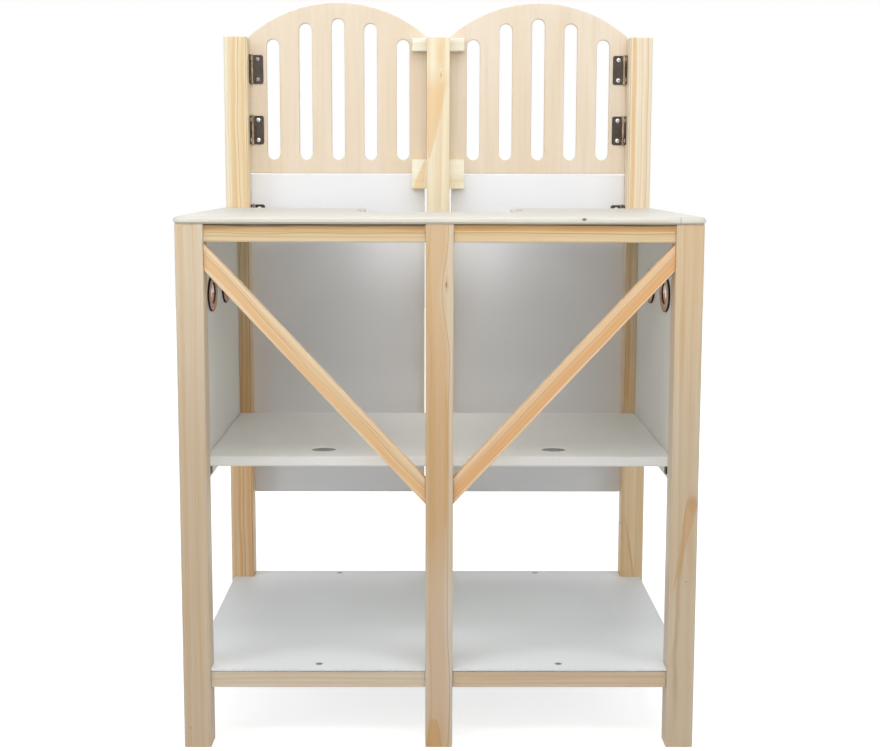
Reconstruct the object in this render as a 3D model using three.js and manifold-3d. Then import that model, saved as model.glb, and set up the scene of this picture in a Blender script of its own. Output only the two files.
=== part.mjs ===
// Hobby horse stable: a pine frame with a table, a shelf, a bottom board and two pairs of stable doors.
// Millimetres, +Z up. The keeper stands on the -Y side and the horses look out over the doors on +Y.
// The origin is on the floor, in the middle of the stable's outline.
import * as THREE from "three";
import { mergeVertices } from "three/addons/utils/BufferGeometryUtils.js";
import Module from "manifold-3d";

// Driving dimensions of the frame
const frontWidth = 750;
const frameDepth = 562;
const backPostInset = 5;
const postWidth = 40;
const postDepth = 40;
const edgeRound = 2.2;
const seatGap = 0.1;
const cutGap = 0.3;
const cutOverrun = 4;

// Table
const tableTopZ = 780;
const tableThickness = 10;
const tableOverhang = 2;
const tableCornerRadius = 7;
const tableEdgeRound = 3;
const notchWidth = 252;
const notchDepth = 254;
const notchCornerRadius = 5;

// Rails and braces
const railHeight = 26;
const railDepth = 34;
const railInset = 5;
const bottomRailZ = 90;
const braceWidth = 26;
const braceThickness = 18;
const braceInset = 6;
const braceTopDrop = 2.5;
const braceFootZ = 365;

// Shelf, its holes for the horses' sticks, and what carries it
const shelfTopZ = 418;
const shelfThickness = 15;
const shelfSetback = 98;
const shelfEdgeRound = 4;
const stickHoleRadius = 19;
const stickHoleSetback = 66;
const shelfRailDepth = 18;
const bracketLength = 20;
const bracketWidth = 16;
const bracketThickness = 2;
const bracketSetback = 42;
const bracketBendRadius = 1.5;

// Side panels, held in grooves in the posts
const panelThickness = 3;
const panelInset = 16;
const panelBelowShelf = 26;
const grooveDepth = 6;

// Oval rings, let into windows in the side panels
const ringWidth = 92;
const ringHeight = 56;
const ringHoleWidth = 48;
const ringHoleHeight = 31;
const ringThickness = 3;
const ringCollarWall = 2.5;
const ringBelowTable = 151.5;
const firstRingSetback = 153.5;
const ringSpacing = 160;

// Bottom board and its screws
const boardThickness = 3;
const boardSideInset = 10;
const boardFrontInset = 3;
const screwHeadRadius = 4.4;
const screwHeadHeight = 2.3;
const screwHeadSink = 0.2;
const screwShankRadius = 1.8;
const screwLength = 18;
const frontScrewSetback = 27;
const backScrewSetback = 26;

// Doors
const doorThickness = 9;
const doorHingeLap = 1.4;
const upperDoorCentreGap = 0.2;
const lowerDoorCentreGap = 3.5;
const doorBackGap = 8;
const splitAboveTable = 58.5;
const doorSplitGap = 2;
const shoulderAboveSplit = 238.5;
const shoulderAbovePosts = 4;
const archRise = 58;
const lowerDoorBottomZ = 265;
const doorEdgeRound = 1;
const doorCornerRadius = 2;
const slotCount = 5;
const slotWidth = 22.5;
const slotSideMargin = 30.35;
const slotTopMargin = 27;
const slotBottomMargin = 24;

// Stops that the doors close against, let into the back of the centre post
const stopLength = 92;
const stopThickness = 20;
const stopGap = 0.4;
const topStopHeight = 22;
const middleStopHeight = 51;

// Butt hinges
const leafHeight = 50;
const leafReach = 20;
const leafThickness = 1.5;
const leafCornerRadius = 4;
const knuckleRadius = 2.75;
const knuckleBoreRadius = 1.6;
const knuckleCount = 5;
const knuckleGap = 0.3;
const barrelClearance = 0.25;
const pinRadius = 1.2;
const pinHeadRadius = 2.2;
const pinHeadHeight = 1;
const leafHoleRadius = 2.1;
const leafHoleSpacing = 35;
const leafHoleReach = 10;
const upperDoorTopHingeInset = 57;
const upperDoorBottomHingeInset = 75.5;
const lowerDoorHingeInset = 78;

// Facets on round forms
const cornerSteps = 2;
const arcSteps = 6;
const ovalSteps = 14;
const archSteps = 16;
const roundSides = 8;
const stickHoleSides = 24;

// Places worked out from the sizes above
const postHalfWidth = postWidth / 2;
const doorLeafOffset = knuckleRadius + barrelClearance;
const totalDepth = tableOverhang + frameDepth + doorBackGap + doorThickness;
const frontY = tableOverhang - totalDepth / 2;
const backPostY = frontY + frameDepth - postDepth;
const frameBackY = backPostY + postDepth;
const doorInnerY = frameBackY + doorBackGap;
const hingeAxisY = doorInnerY - doorLeafOffset;
const frontOuterX = frontWidth / 2;
const frontInnerX = frontOuterX - postWidth;
const backOuterX = frontOuterX - backPostInset;
const backInnerX = backOuterX - postWidth;
const hingeAxisX = backInnerX - doorLeafOffset;
const doorHingeEdgeX = backInnerX + doorHingeLap;
const upperDoorWidth = doorHingeEdgeX - postHalfWidth - upperDoorCentreGap;
const lowerDoorWidth = doorHingeEdgeX - postHalfWidth - lowerDoorCentreGap;
const bayCentreX = (frontInnerX + postHalfWidth) / 2;
const doorSplitZ = tableTopZ + splitAboveTable;
const upperDoorBottomZ = doorSplitZ + doorSplitGap / 2;
const lowerDoorTopZ = doorSplitZ - doorSplitGap / 2;
const upperDoorShoulderZ = doorSplitZ + shoulderAboveSplit;
const backPostHeight = upperDoorShoulderZ - shoulderAbovePosts;
const frontPostHeight = tableTopZ - tableThickness - seatGap;
const bottomRailTopZ = bottomRailZ + railHeight;
const bottomRailMiddleZ = bottomRailZ + railHeight / 2;
const shelfUndersideZ = shelfTopZ - shelfThickness;
const panelX = frontInnerX + panelInset;
const panelBottomZ = shelfUndersideZ - panelBelowShelf;
const shelfFrontY = frontY + shelfSetback;

// Finishes
const finishes = {
  pine: { color: 0xd9b27c, roughness: 0.55, metalness: 0 },
  birchPly: { color: 0xe6c9a0, roughness: 0.5, metalness: 0 },
  whiteBoard: { color: 0xe9e9e6, roughness: 0.4, metalness: 0 },
  washedPine: { color: 0xe4ddcc, roughness: 0.42, metalness: 0 },
  bronzeSteel: { color: 0x3a2f27, roughness: 0.4, metalness: 0.9 },
  screwSteel: { color: 0xb9bcbf, roughness: 0.3, metalness: 1 },
  burntPly: { color: 0xc79a6b, roughness: 0.6, metalness: 0 },
};

const stable = new THREE.Group();

function addPiece(name, geometry, finish, x, y, z) {
  const mesh = new THREE.Mesh(geometry, new THREE.MeshStandardMaterial(finishes[finish]));
  mesh.name = name;
  mesh.position.set(x, y, z);
  stable.add(mesh);
  return mesh;
}

// Solids for cutting and joining
const wasm = await Module();
wasm.setup();

function toSolid(geometry) {
  const bare = geometry.clone();
  bare.deleteAttribute("normal");
  bare.deleteAttribute("uv");
  const merged = mergeVertices(bare);
  return new wasm.Manifold(new wasm.Mesh({
    numProp: 3,
    vertProperties: new Float32Array(merged.attributes.position.array),
    triVerts: new Uint32Array(merged.index.array),
  }));
}

function toGeometry(solid) {
  const mesh = solid.getMesh();
  const geometry = new THREE.BufferGeometry();
  geometry.setAttribute("position", new THREE.BufferAttribute(mesh.vertProperties, mesh.numProp));
  geometry.setIndex(new THREE.BufferAttribute(mesh.triVerts, 1));
  geometry.computeVertexNormals();
  return geometry;
}

function cut(geometry, cutters) {
  let solid = toSolid(geometry);
  for (const cutter of cutters) {
    solid = solid.subtract(toSolid(cutter));
  }
  return toGeometry(solid);
}

function join(geometries) {
  let solid = toSolid(geometries[0]);
  for (const other of geometries.slice(1)) {
    solid = solid.add(toSolid(other));
  }
  return toGeometry(solid);
}

// Turns a drawing in its own x and y, thick along its own z, to stand in the stable's axes
const axisX = new THREE.Vector3(1, 0, 0);
const axisY = new THREE.Vector3(0, 1, 0);
const axisZ = new THREE.Vector3(0, 0, 1);
const turns = {
  alongX: new THREE.Matrix4().makeBasis(axisY, axisZ, axisX),
  alongY: new THREE.Matrix4().makeBasis(axisX, axisZ, axisY.clone().negate()),
  alongZ: new THREE.Matrix4(),
};

// A drawn outline given a thickness about its own plane, with its edges rounded where round is over zero
function slab(shape, thickness, turn, round = 0, steps = cornerSteps) {
  const geometry = new THREE.ExtrudeGeometry(shape, {
    depth: thickness - round * 2,
    steps: 1,
    curveSegments: steps,
    bevelEnabled: round > 0,
    bevelThickness: round,
    bevelSize: round,
    bevelOffset: -round,
    bevelSegments: 1,
  });
  geometry.translate(0, 0, round - thickness / 2);
  geometry.applyMatrix4(turns[turn]);
  return geometry;
}

function box(x, y, z) {
  return new THREE.BoxGeometry(x, y, z);
}

function moved(geometry, x, y, z) {
  return geometry.clone().translate(x, y, z);
}

// A copy turned or mirrored by a matrix, with its faces still pointing out
function turned(geometry, matrix) {
  const copy = geometry.clone().applyMatrix4(matrix);
  if (matrix.determinant() < 0) {
    const index = copy.index.array;
    for (let i = 0; i < index.length; i += 3) {
      const first = index[i];
      index[i] = index[i + 1];
      index[i + 1] = first;
    }
  }
  copy.computeVertexNormals();
  return copy;
}

function mirroredX(geometry) {
  return turned(geometry, new THREE.Matrix4().makeScale(-1, 1, 1));
}

// A closed outline through points, each corner rounded by its own radius
function roundedOutline(points, radii) {
  const shape = new THREE.Shape();
  const count = points.length;
  for (let i = 0; i < count; i += 1) {
    const corner = points[i];
    const before = points[(i + count - 1) % count];
    const after = points[(i + 1) % count];
    const radius = Array.isArray(radii) ? radii[i] : radii;
    const towardBefore = before.clone().sub(corner).normalize();
    const towardAfter = after.clone().sub(corner).normalize();
    const start = corner.clone().addScaledVector(towardBefore, radius);
    const end = corner.clone().addScaledVector(towardAfter, radius);
    if (i === 0) {
      shape.moveTo(start.x, start.y);
    } else {
      shape.lineTo(start.x, start.y);
    }
    if (radius > 0) {
      shape.quadraticCurveTo(corner.x, corner.y, end.x, end.y);
    }
  }
  shape.closePath();
  return shape;
}

function point(x, y) {
  return new THREE.Vector2(x, y);
}

function rectangle(width, height, radius) {
  const x = width / 2;
  const y = height / 2;
  return roundedOutline([point(-x, -y), point(x, -y), point(x, y), point(-x, y)], radius);
}

// A bar with rounded long edges and square ends
function bar(turn, length, width, height) {
  return slab(rectangle(width, height, edgeRound), length, turn);
}

// A round hole in a drawn outline
function roundHole(shape, x, y, radius, count = roundSides) {
  const points = [];
  for (let i = 0; i < count; i += 1) {
    const angle = (-Math.PI * 2 * i) / count;
    points.push(point(x + radius * Math.cos(angle), y + radius * Math.sin(angle)));
  }
  shape.holes.push(new THREE.Path(points));
}

const sides = [
  { name: "left", sign: -1 },
  { name: "right", sign: 1 },
];

// Posts: the outer ones hold the side panels in grooves, and the centre back one holds the door stops
function post(height) {
  return slab(rectangle(postWidth, postDepth, edgeRound), height, "alongZ", edgeRound / 2);
}

function grooveCutter(postX, postHeight, towardY) {
  const grooveWidth = panelThickness + cutGap * 2;
  const bottom = panelBottomZ - cutGap;
  const top = frontPostHeight + cutOverrun;
  const cutter = box(grooveWidth, grooveDepth * 2, top - bottom);
  const centreX = panelX + panelThickness / 2 - postX;
  return moved(cutter, centreX, towardY * postDepth / 2, (top + bottom) / 2 - postHeight / 2);
}

function addPosts() {
  const frontX = frontOuterX - postHalfWidth;
  const backX = backOuterX - postHalfWidth;
  const frontCentreY = frontY + postDepth / 2;
  const backCentreY = backPostY + postDepth / 2;
  const frontZ = frontPostHeight / 2;
  const backZ = backPostHeight / 2;
  const frontRight = cut(post(frontPostHeight), [grooveCutter(frontX, frontPostHeight, 1)]);
  const backRight = cut(post(backPostHeight), [grooveCutter(backX, backPostHeight, -1)]);
  for (const side of sides) {
    const front = side.sign > 0 ? frontRight : mirroredX(frontRight);
    const back = side.sign > 0 ? backRight : mirroredX(backRight);
    addPiece(`front_${side.name}_post`, front, "pine", side.sign * frontX, frontCentreY, frontZ);
    addPiece(`back_${side.name}_post`, back, "pine", side.sign * backX, backCentreY, backZ);
  }
  addPiece("front_centre_post", post(frontPostHeight), "pine", 0, frontCentreY, frontZ);
  const stopFrontY = doorInnerY - stopGap - stopThickness;
  const housings = doorStops().map((stop) => {
    const top = stop.open ? backPostHeight + cutOverrun : stop.z + stop.height / 2 + cutGap;
    const bottom = stop.z - stop.height / 2 - cutGap;
    const depth = frameBackY - stopFrontY + cutGap + cutOverrun;
    const housing = box(postWidth + cutOverrun * 2, depth, top - bottom);
    return moved(housing, 0, postDepth / 2 + cutOverrun - depth / 2, (top + bottom) / 2 - backZ);
  });
  const backCentre = cut(post(backPostHeight), housings);
  addPiece("back_centre_post", backCentre, "pine", 0, backCentreY, backZ);
}

function doorStops() {
  return [
    { name: "top_door_stop", height: topStopHeight, z: backPostHeight - topStopHeight / 2, open: true },
    { name: "middle_door_stop", height: middleStopHeight, z: doorSplitZ, open: false },
  ];
}

function addDoorStops() {
  const y = doorInnerY - stopGap - stopThickness / 2;
  for (const stop of doorStops()) {
    const shape = rectangle(stopLength, stop.height, doorCornerRadius);
    addPiece(stop.name, slab(shape, stopThickness, "alongY", doorEdgeRound), "pine", 0, y, stop.z);
  }
}

// Rails between the posts, in pairs left and right of the centre posts
function addRails() {
  const topZ = frontPostHeight - railHeight / 2;
  const lowZ = bottomRailMiddleZ;
  const rows = [
    { name: "front_top_rail", z: topZ, outer: frontInnerX, front: frontY },
    { name: "front_bottom_rail", z: lowZ, outer: frontInnerX, front: frontY, screw: frontScrewSetback },
    { name: "back_bottom_rail", z: lowZ, outer: backInnerX, front: backPostY, screw: backScrewSetback },
  ];
  for (const row of rows) {
    const inner = postHalfWidth;
    const length = row.outer - inner - seatGap * 2;
    const centreX = (row.outer + inner) / 2;
    const inset = row.front === frontY ? railInset : (postDepth - railDepth) / 2;
    const centreY = row.front + inset + railDepth / 2;
    for (const side of sides) {
      let rail = bar("alongX", length, railDepth, railHeight);
      if (row.screw) {
        const radius = screwShankRadius + cutGap;
        const pilot = new THREE.CylinderGeometry(radius, radius, screwLength * 2, roundSides);
        pilot.applyMatrix4(turns.alongY);
        const screwX = side.sign * (bayCentreX - centreX);
        rail = cut(rail, [moved(pilot, screwX, row.front + row.screw - centreY, railHeight / 2)]);
      }
      addPiece(`${row.name}_${side.name}`, rail, "pine", side.sign * centreX, centreY, row.z);
    }
  }
}

// Braces from under the top rail at each outer post down to the centre post
function addBraces() {
  const outer = frontInnerX - seatGap;
  const inner = postHalfWidth + seatGap;
  const topZ = frontPostHeight - railHeight - braceTopDrop;
  const run = outer - inner;
  const upright = braceUpright(topZ - braceFootZ, run);
  const outline = (sign) => [
    point(sign * outer, topZ),
    point(sign * outer, topZ - upright),
    point(sign * inner, braceFootZ),
    point(sign * inner, braceFootZ + upright),
  ];
  const y = frontY + braceInset + braceThickness / 2;
  for (const side of sides) {
    const points = outline(side.sign);
    const shape = roundedOutline(side.sign > 0 ? points.reverse() : points, 0);
    addPiece(`brace_${side.name}`, slab(shape, braceThickness, "alongY", doorEdgeRound), "pine", 0, y, 0);
  }
}

// The brace's height measured straight up, from its width square to its slope
function braceUpright(rise, run) {
  const slopeSteps = 8;
  let upright = braceWidth;
  for (let i = 0; i < slopeSteps; i += 1) {
    upright = braceWidth * Math.hypot(rise - upright, run) / run;
  }
  return upright;
}

// Table top: one board with an open notch at the back where the horses' heads stand
function addTable() {
  const x = frontOuterX + tableOverhang;
  const front = frontY - tableOverhang;
  const back = backPostY - seatGap;
  const notchX = notchWidth / 2;
  const notchY = back - notchDepth;
  const points = [
    point(-x, front), point(x, front), point(x, back), point(notchX, back),
    point(notchX, notchY), point(-notchX, notchY), point(-notchX, back), point(-x, back),
  ];
  const corner = tableCornerRadius;
  const inner = notchCornerRadius;
  const shape = roundedOutline(points, [corner, corner, inner, inner, inner, inner, inner, inner]);
  const top = slab(shape, tableThickness, "alongZ", tableEdgeRound);
  addPiece("table_top", top, "washedPine", 0, 0, tableTopZ - tableThickness / 2);
}

// Shelf between the side panels, with a hole for each horse's stick
function addShelf() {
  const x = panelX - seatGap;
  const back = backPostY - seatGap;
  const points = [point(-x, shelfFrontY), point(x, shelfFrontY), point(x, back), point(-x, back)];
  const shape = roundedOutline(points, shelfEdgeRound);
  for (const side of sides) {
    const holeX = side.sign * bayCentreX;
    roundHole(shape, holeX, shelfFrontY + stickHoleSetback, stickHoleRadius, stickHoleSides);
  }
  const shelf = slab(shape, shelfThickness, "alongZ", shelfEdgeRound / 2);
  addPiece("shelf", shelf, "whiteBoard", 0, 0, shelfTopZ - shelfThickness / 2);

  const railTopZ = shelfUndersideZ - seatGap;
  const rail = bar("alongX", x * 2, shelfRailDepth, panelBelowShelf - seatGap);
  const railZ = (railTopZ + panelBottomZ) / 2;
  addPiece("back_shelf_rail", rail, "pine", 0, back - shelfRailDepth / 2, railZ);

  for (const side of sides) {
    addPiece(`shelf_bracket_${side.name}`, bracket(side.sign), "bronzeSteel",
      side.sign * x, shelfFrontY + bracketSetback + bracketWidth / 2, railTopZ);
  }
}

// An angle bracket whose corner is at the panel's face and the shelf's underside
function bracket(sign) {
  const reach = -sign * bracketLength;
  const thick = -sign * bracketThickness;
  const points = [
    point(0, 0), point(reach, 0), point(reach, -bracketThickness),
    point(thick, -bracketThickness), point(thick, -bracketLength), point(0, -bracketLength),
  ];
  const shape = roundedOutline(points, [0, 0, 0, bracketBendRadius, 0, 0]);
  return slab(shape, bracketWidth, "alongY");
}

// Where the rings stand along a side, measured from front to back
function ringPlaces() {
  const first = frontY + postDepth + firstRingSetback;
  return [
    { name: "front", y: first },
    { name: "back", y: first + ringSpacing },
  ];
}

// An oval outline about a point, drawn the other way round where it is a hole
function oval(path, x, y, width, height, isHole) {
  path.absellipse(x, y, width / 2, height / 2, 0, Math.PI * 2, isHole);
  return path;
}

// A flat oval plate for the panel's inner face, with a collar that lines the window, as for the right side
function tackRing() {
  const collarWidth = ringHoleWidth + ringCollarWall * 2;
  const collarHeight = ringHoleHeight + ringCollarWall * 2;
  const collarLength = ringThickness / 2 + seatGap + panelThickness;
  const plateShape = oval(new THREE.Shape(), 0, 0, ringWidth, ringHeight, false);
  const collarShape = oval(new THREE.Shape(), 0, 0, collarWidth, collarHeight, false);
  const holeShape = oval(new THREE.Shape(), 0, 0, ringHoleWidth, ringHoleHeight, false);
  const plate = slab(plateShape, ringThickness, "alongX", 0, ovalSteps);
  const collar = slab(collarShape, collarLength, "alongX", 0, ovalSteps);
  const hole = slab(holeShape, (ringThickness + collarLength) * 2, "alongX", 0, ovalSteps);
  return cut(join([plate, moved(collar, collarLength / 2, 0, 0)]), [hole]);
}

// Side panels with a window for each ring
function addSidePanels() {
  const front = frontY + postDepth - grooveDepth + cutGap;
  const back = backPostY + grooveDepth - cutGap;
  const topZ = frontPostHeight;
  const ringZ = tableTopZ - ringBelowTable + ringHeight / 2;
  const windowWidth = ringHoleWidth + (ringCollarWall + cutGap) * 2;
  const windowHeight = ringHoleHeight + (ringCollarWall + cutGap) * 2;
  const corners = [
    point(front, panelBottomZ), point(back, panelBottomZ),
    point(back, topZ), point(front, topZ),
  ];
  const shape = roundedOutline(corners, 0);
  for (const place of ringPlaces()) {
    shape.holes.push(oval(new THREE.Path(), place.y, ringZ, windowWidth, windowHeight, true));
  }
  const panel = slab(shape, panelThickness, "alongX", 0, ovalSteps);
  const rightRing = tackRing();
  const leftRing = mirroredX(rightRing);
  for (const side of sides) {
    const x = side.sign * (panelX + panelThickness / 2);
    addPiece(`side_panel_${side.name}`, panel, "whiteBoard", x, 0, 0);
    for (const place of ringPlaces()) {
      const ring = side.sign > 0 ? rightRing : leftRing;
      const plateX = side.sign * (panelX - seatGap - ringThickness / 2);
      addPiece(`${place.name}_tack_ring_${side.name}`, ring, "burntPly", plateX, place.y, ringZ);
    }
  }
}

// Bottom board, notched round all six posts, and its four screws
function addBottomBoard() {
  const x = frontOuterX - boardSideInset;
  const front = frontY + boardFrontInset;
  const back = frameBackY;
  const frontNotchY = frontY + postDepth + cutGap;
  const backNotchY = backPostY - cutGap;
  const frontX = frontInnerX - cutGap;
  const backX = backInnerX - cutGap;
  const centreX = postHalfWidth + cutGap;
  const rightHalf = [
    point(centreX, frontNotchY), point(centreX, front), point(frontX, front), point(frontX, frontNotchY),
    point(x, frontNotchY), point(x, backNotchY), point(backX, backNotchY), point(backX, back),
    point(centreX, back), point(centreX, backNotchY),
  ];
  const leftHalf = rightHalf.map((p) => point(-p.x, p.y)).reverse();
  const shape = roundedOutline([...rightHalf, ...leftHalf], 0);
  const places = [
    { name: "front", y: frontY + frontScrewSetback },
    { name: "back", y: backPostY + backScrewSetback },
  ];
  const boardZ = bottomRailTopZ + seatGap + boardThickness / 2;
  const headZ = boardThickness / 2 - screwHeadSink;
  const countersinks = [];
  for (const side of sides) {
    for (const place of places) {
      countersinks.push(moved(screwCountersink(), side.sign * bayCentreX, place.y, headZ));
      const name = `board_screw_${place.name}_${side.name}`;
      addPiece(name, screw(), "screwSteel", side.sign * bayCentreX, place.y, boardZ + headZ);
    }
  }
  const board = cut(slab(shape, boardThickness, "alongZ"), countersinks);
  addPiece("bottom_board", board, "whiteBoard", 0, 0, boardZ);
}

// A countersunk screw, the top of its head at height zero
function screw() {
  return lathe([
    point(0, -screwLength),
    point(screwShankRadius, screwShankRadius - screwLength),
    point(screwShankRadius, -screwHeadHeight),
    point(screwHeadRadius, 0),
    point(0, 0),
  ]);
}

// What a countersunk screw takes out of the board
function screwCountersink() {
  const bottom = -boardThickness - cutOverrun;
  return lathe([
    point(0, bottom),
    point(screwShankRadius + cutGap, bottom),
    point(screwShankRadius + cutGap, -screwHeadHeight),
    point(screwHeadRadius + cutGap, 0),
    point(screwHeadRadius + cutGap, cutOverrun),
    point(0, cutOverrun),
  ]);
}

function lathe(profile) {
  const geometry = new THREE.LatheGeometry(profile, roundSides);
  geometry.rotateX(Math.PI / 2);
  return geometry;
}

// Upper doors: round-topped boards with upright slots, whose tops follow the arch
function upperDoorShape() {
  const half = upperDoorWidth / 2;
  const radius = (half * half + archRise * archRise) / (archRise * 2);
  const centreZ = upperDoorShoulderZ + archRise - radius;
  const spread = Math.asin(half / radius);
  const shape = new THREE.Shape();
  shape.moveTo(-half, upperDoorBottomZ);
  shape.lineTo(half, upperDoorBottomZ);
  shape.lineTo(half, upperDoorShoulderZ);
  for (let i = 1; i < archSteps; i += 1) {
    const angle = Math.PI / 2 - spread + (2 * spread * i) / archSteps;
    shape.lineTo(radius * Math.cos(angle), centreZ + radius * Math.sin(angle));
  }
  shape.lineTo(-half, upperDoorShoulderZ);
  shape.closePath();
  const slotRadius = slotWidth / 2;
  const capRadius = radius - slotTopMargin - slotRadius;
  const lowCapZ = upperDoorBottomZ + slotBottomMargin + slotRadius;
  const slotPitch = (upperDoorWidth - slotSideMargin * 2 - slotWidth) / (slotCount - 1);
  for (let i = 0; i < slotCount; i += 1) {
    const x = (i - (slotCount - 1) / 2) * slotPitch;
    const highCapZ = centreZ + Math.sqrt(capRadius * capRadius - x * x);
    const slot = new THREE.Path();
    slot.absarc(x, lowCapZ, slotRadius, Math.PI * 2, Math.PI, true);
    slot.lineTo(x - slotRadius, highCapZ);
    slot.absarc(x, highCapZ, slotRadius, Math.PI, 0, true);
    slot.closePath();
    shape.holes.push(slot);
  }
  return shape;
}

function lowerDoorShape() {
  const half = lowerDoorWidth / 2;
  const points = [
    point(-half, lowerDoorBottomZ), point(half, lowerDoorBottomZ),
    point(half, lowerDoorTopZ), point(-half, lowerDoorTopZ),
  ];
  return roundedOutline(points, doorCornerRadius);
}

function addDoors() {
  const y = doorInnerY + doorThickness / 2;
  for (const side of sides) {
    const upperX = side.sign * (doorHingeEdgeX - upperDoorWidth / 2);
    const lowerX = side.sign * (doorHingeEdgeX - lowerDoorWidth / 2);
    const upper = slab(upperDoorShape(), doorThickness, "alongY", doorEdgeRound, arcSteps);
    const lower = slab(lowerDoorShape(), doorThickness, "alongY", doorEdgeRound);
    addPiece(`upper_door_${side.name}`, upper, "birchPly", upperX, y, 0);
    addPiece(`lower_door_${side.name}`, lower, "whiteBoard", lowerX, y, 0);
  }
}

// A hinge leaf about its pin: the plate lies flat at the mounting face and reaches away along its own x,
// with knuckles from the first, third and so on where even is true
function leaf(even) {
  const pitch = leafHeight / knuckleCount;
  const solids = [];
  const plateStart = knuckleRadius + cutGap;
  const plateLength = leafReach - plateStart;
  const plateX = plateStart + plateLength / 2;
  const plateY = -(doorLeafOffset - leafThickness / 2);
  const halfLength = plateLength / 2;
  const halfHeight = leafHeight / 2;
  const corners = [
    point(-halfLength, -halfHeight), point(halfLength, -halfHeight),
    point(halfLength, halfHeight), point(-halfLength, halfHeight),
  ];
  const plate = roundedOutline(corners, [0, leafCornerRadius, leafCornerRadius, 0]);
  for (const hole of sides) {
    roundHole(plate, leafHoleReach - plateX, hole.sign * leafHoleSpacing / 2, leafHoleRadius);
  }
  solids.push(moved(slab(plate, leafThickness, "alongY"), plateX, plateY, 0));
  for (let i = even ? 0 : 1; i < knuckleCount; i += 2) {
    const z = (i + 1 / 2) * pitch - leafHeight / 2;
    const height = pitch - knuckleGap;
    const tab = box(plateStart + leafThickness, leafThickness, height);
    solids.push(moved(tab, (plateStart + leafThickness) / 2, plateY, z));
    const knuckle = new THREE.CylinderGeometry(knuckleRadius, knuckleRadius, height, roundSides);
    knuckle.applyMatrix4(turns.alongY);
    solids.push(moved(knuckle, 0, 0, z));
  }
  const boreLength = leafHeight + cutOverrun;
  const bore = new THREE.CylinderGeometry(knuckleBoreRadius, knuckleBoreRadius, boreLength, roundSides);
  bore.applyMatrix4(turns.alongY);
  return cut(join(solids), [bore]);
}

function hingePin() {
  const half = leafHeight / 2 + knuckleGap;
  const profile = [
    point(0, -half - pinHeadHeight),
    point(pinHeadRadius - pinHeadHeight / 2, -half - pinHeadHeight),
    point(pinHeadRadius, -half - pinHeadHeight / 2),
    point(pinHeadRadius, -half),
    point(pinRadius, -half),
    point(pinRadius, half),
    point(pinHeadRadius, half),
    point(pinHeadRadius, half + pinHeadHeight / 2),
    point(pinHeadRadius - pinHeadHeight / 2, half + pinHeadHeight),
    point(0, half + pinHeadHeight),
  ];
  return lathe(profile);
}

function hingeHeights() {
  return [
    { name: "upper_door_top", z: upperDoorShoulderZ - upperDoorTopHingeInset },
    { name: "upper_door_bottom", z: upperDoorBottomZ + upperDoorBottomHingeInset },
    { name: "lower_door_top", z: lowerDoorTopZ - lowerDoorHingeInset },
    { name: "lower_door_bottom", z: lowerDoorBottomZ + lowerDoorHingeInset },
  ];
}

// The frame leaf lies on the post's inner face, the door leaf on the door's inner face
function addHinges() {
  const doorLeafRight = turned(leaf(false), turnLeaf(-1, 0, 0, -1));
  const frameLeafRight = turned(leaf(true), turnLeaf(0, -1, -1, 0));
  for (const side of sides) {
    const doorLeaf = side.sign > 0 ? doorLeafRight : mirroredX(doorLeafRight);
    const frameLeaf = side.sign > 0 ? frameLeafRight : mirroredX(frameLeafRight);
    for (const place of hingeHeights()) {
      const x = side.sign * hingeAxisX;
      const stem = `${place.name}_hinge_${side.name}`;
      addPiece(`${stem}_frame_leaf`, frameLeaf, "bronzeSteel", x, hingeAxisY, place.z);
      addPiece(`${stem}_door_leaf`, doorLeaf, "bronzeSteel", x, hingeAxisY, place.z);
      addPiece(`${stem}_pin`, hingePin(), "bronzeSteel", x, hingeAxisY, place.z);
    }
  }
}

// A leaf's own x and y sent to two directions in plan, given as x and y of each
function turnLeaf(xx, xy, yx, yy) {
  return new THREE.Matrix4().makeBasis(new THREE.Vector3(xx, xy, 0), new THREE.Vector3(yx, yy, 0), axisZ);
}

addPosts();
addRails();
addBraces();
addTable();
addShelf();
addSidePanels();
addBottomBoard();
addDoors();
addDoorStops();
addHinges();

export default stable;
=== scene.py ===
"""The looks of the hobby horse stable: its wood, lacquer, plywood and hinges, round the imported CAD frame."""
import math
import bmesh
import bpy
from mathutils import Matrix, Vector


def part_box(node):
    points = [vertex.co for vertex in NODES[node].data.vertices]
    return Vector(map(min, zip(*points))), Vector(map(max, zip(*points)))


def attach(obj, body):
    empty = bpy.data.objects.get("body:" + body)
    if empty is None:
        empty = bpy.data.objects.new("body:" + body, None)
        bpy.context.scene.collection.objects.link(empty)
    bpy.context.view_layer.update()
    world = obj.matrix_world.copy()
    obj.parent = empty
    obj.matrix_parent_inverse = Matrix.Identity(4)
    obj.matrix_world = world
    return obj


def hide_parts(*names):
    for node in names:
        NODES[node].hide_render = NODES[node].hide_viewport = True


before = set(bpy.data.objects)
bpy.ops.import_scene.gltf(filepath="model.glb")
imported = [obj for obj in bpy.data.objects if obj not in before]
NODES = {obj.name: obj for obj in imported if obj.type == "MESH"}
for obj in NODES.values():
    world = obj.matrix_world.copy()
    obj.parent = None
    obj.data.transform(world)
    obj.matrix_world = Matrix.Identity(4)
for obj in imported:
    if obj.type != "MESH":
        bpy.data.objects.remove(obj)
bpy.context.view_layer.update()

SIDES = {"left": -1.0, "right": 1.0}
MM = 0.001


def middle(node):
    """The middle of a CAD node's box."""
    low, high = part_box(node)
    return (low + high) / 2


def half(node):
    """Half the size of a CAD node's box, along each axis."""
    low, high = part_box(node)
    return tuple((high - low) / 2)


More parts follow.
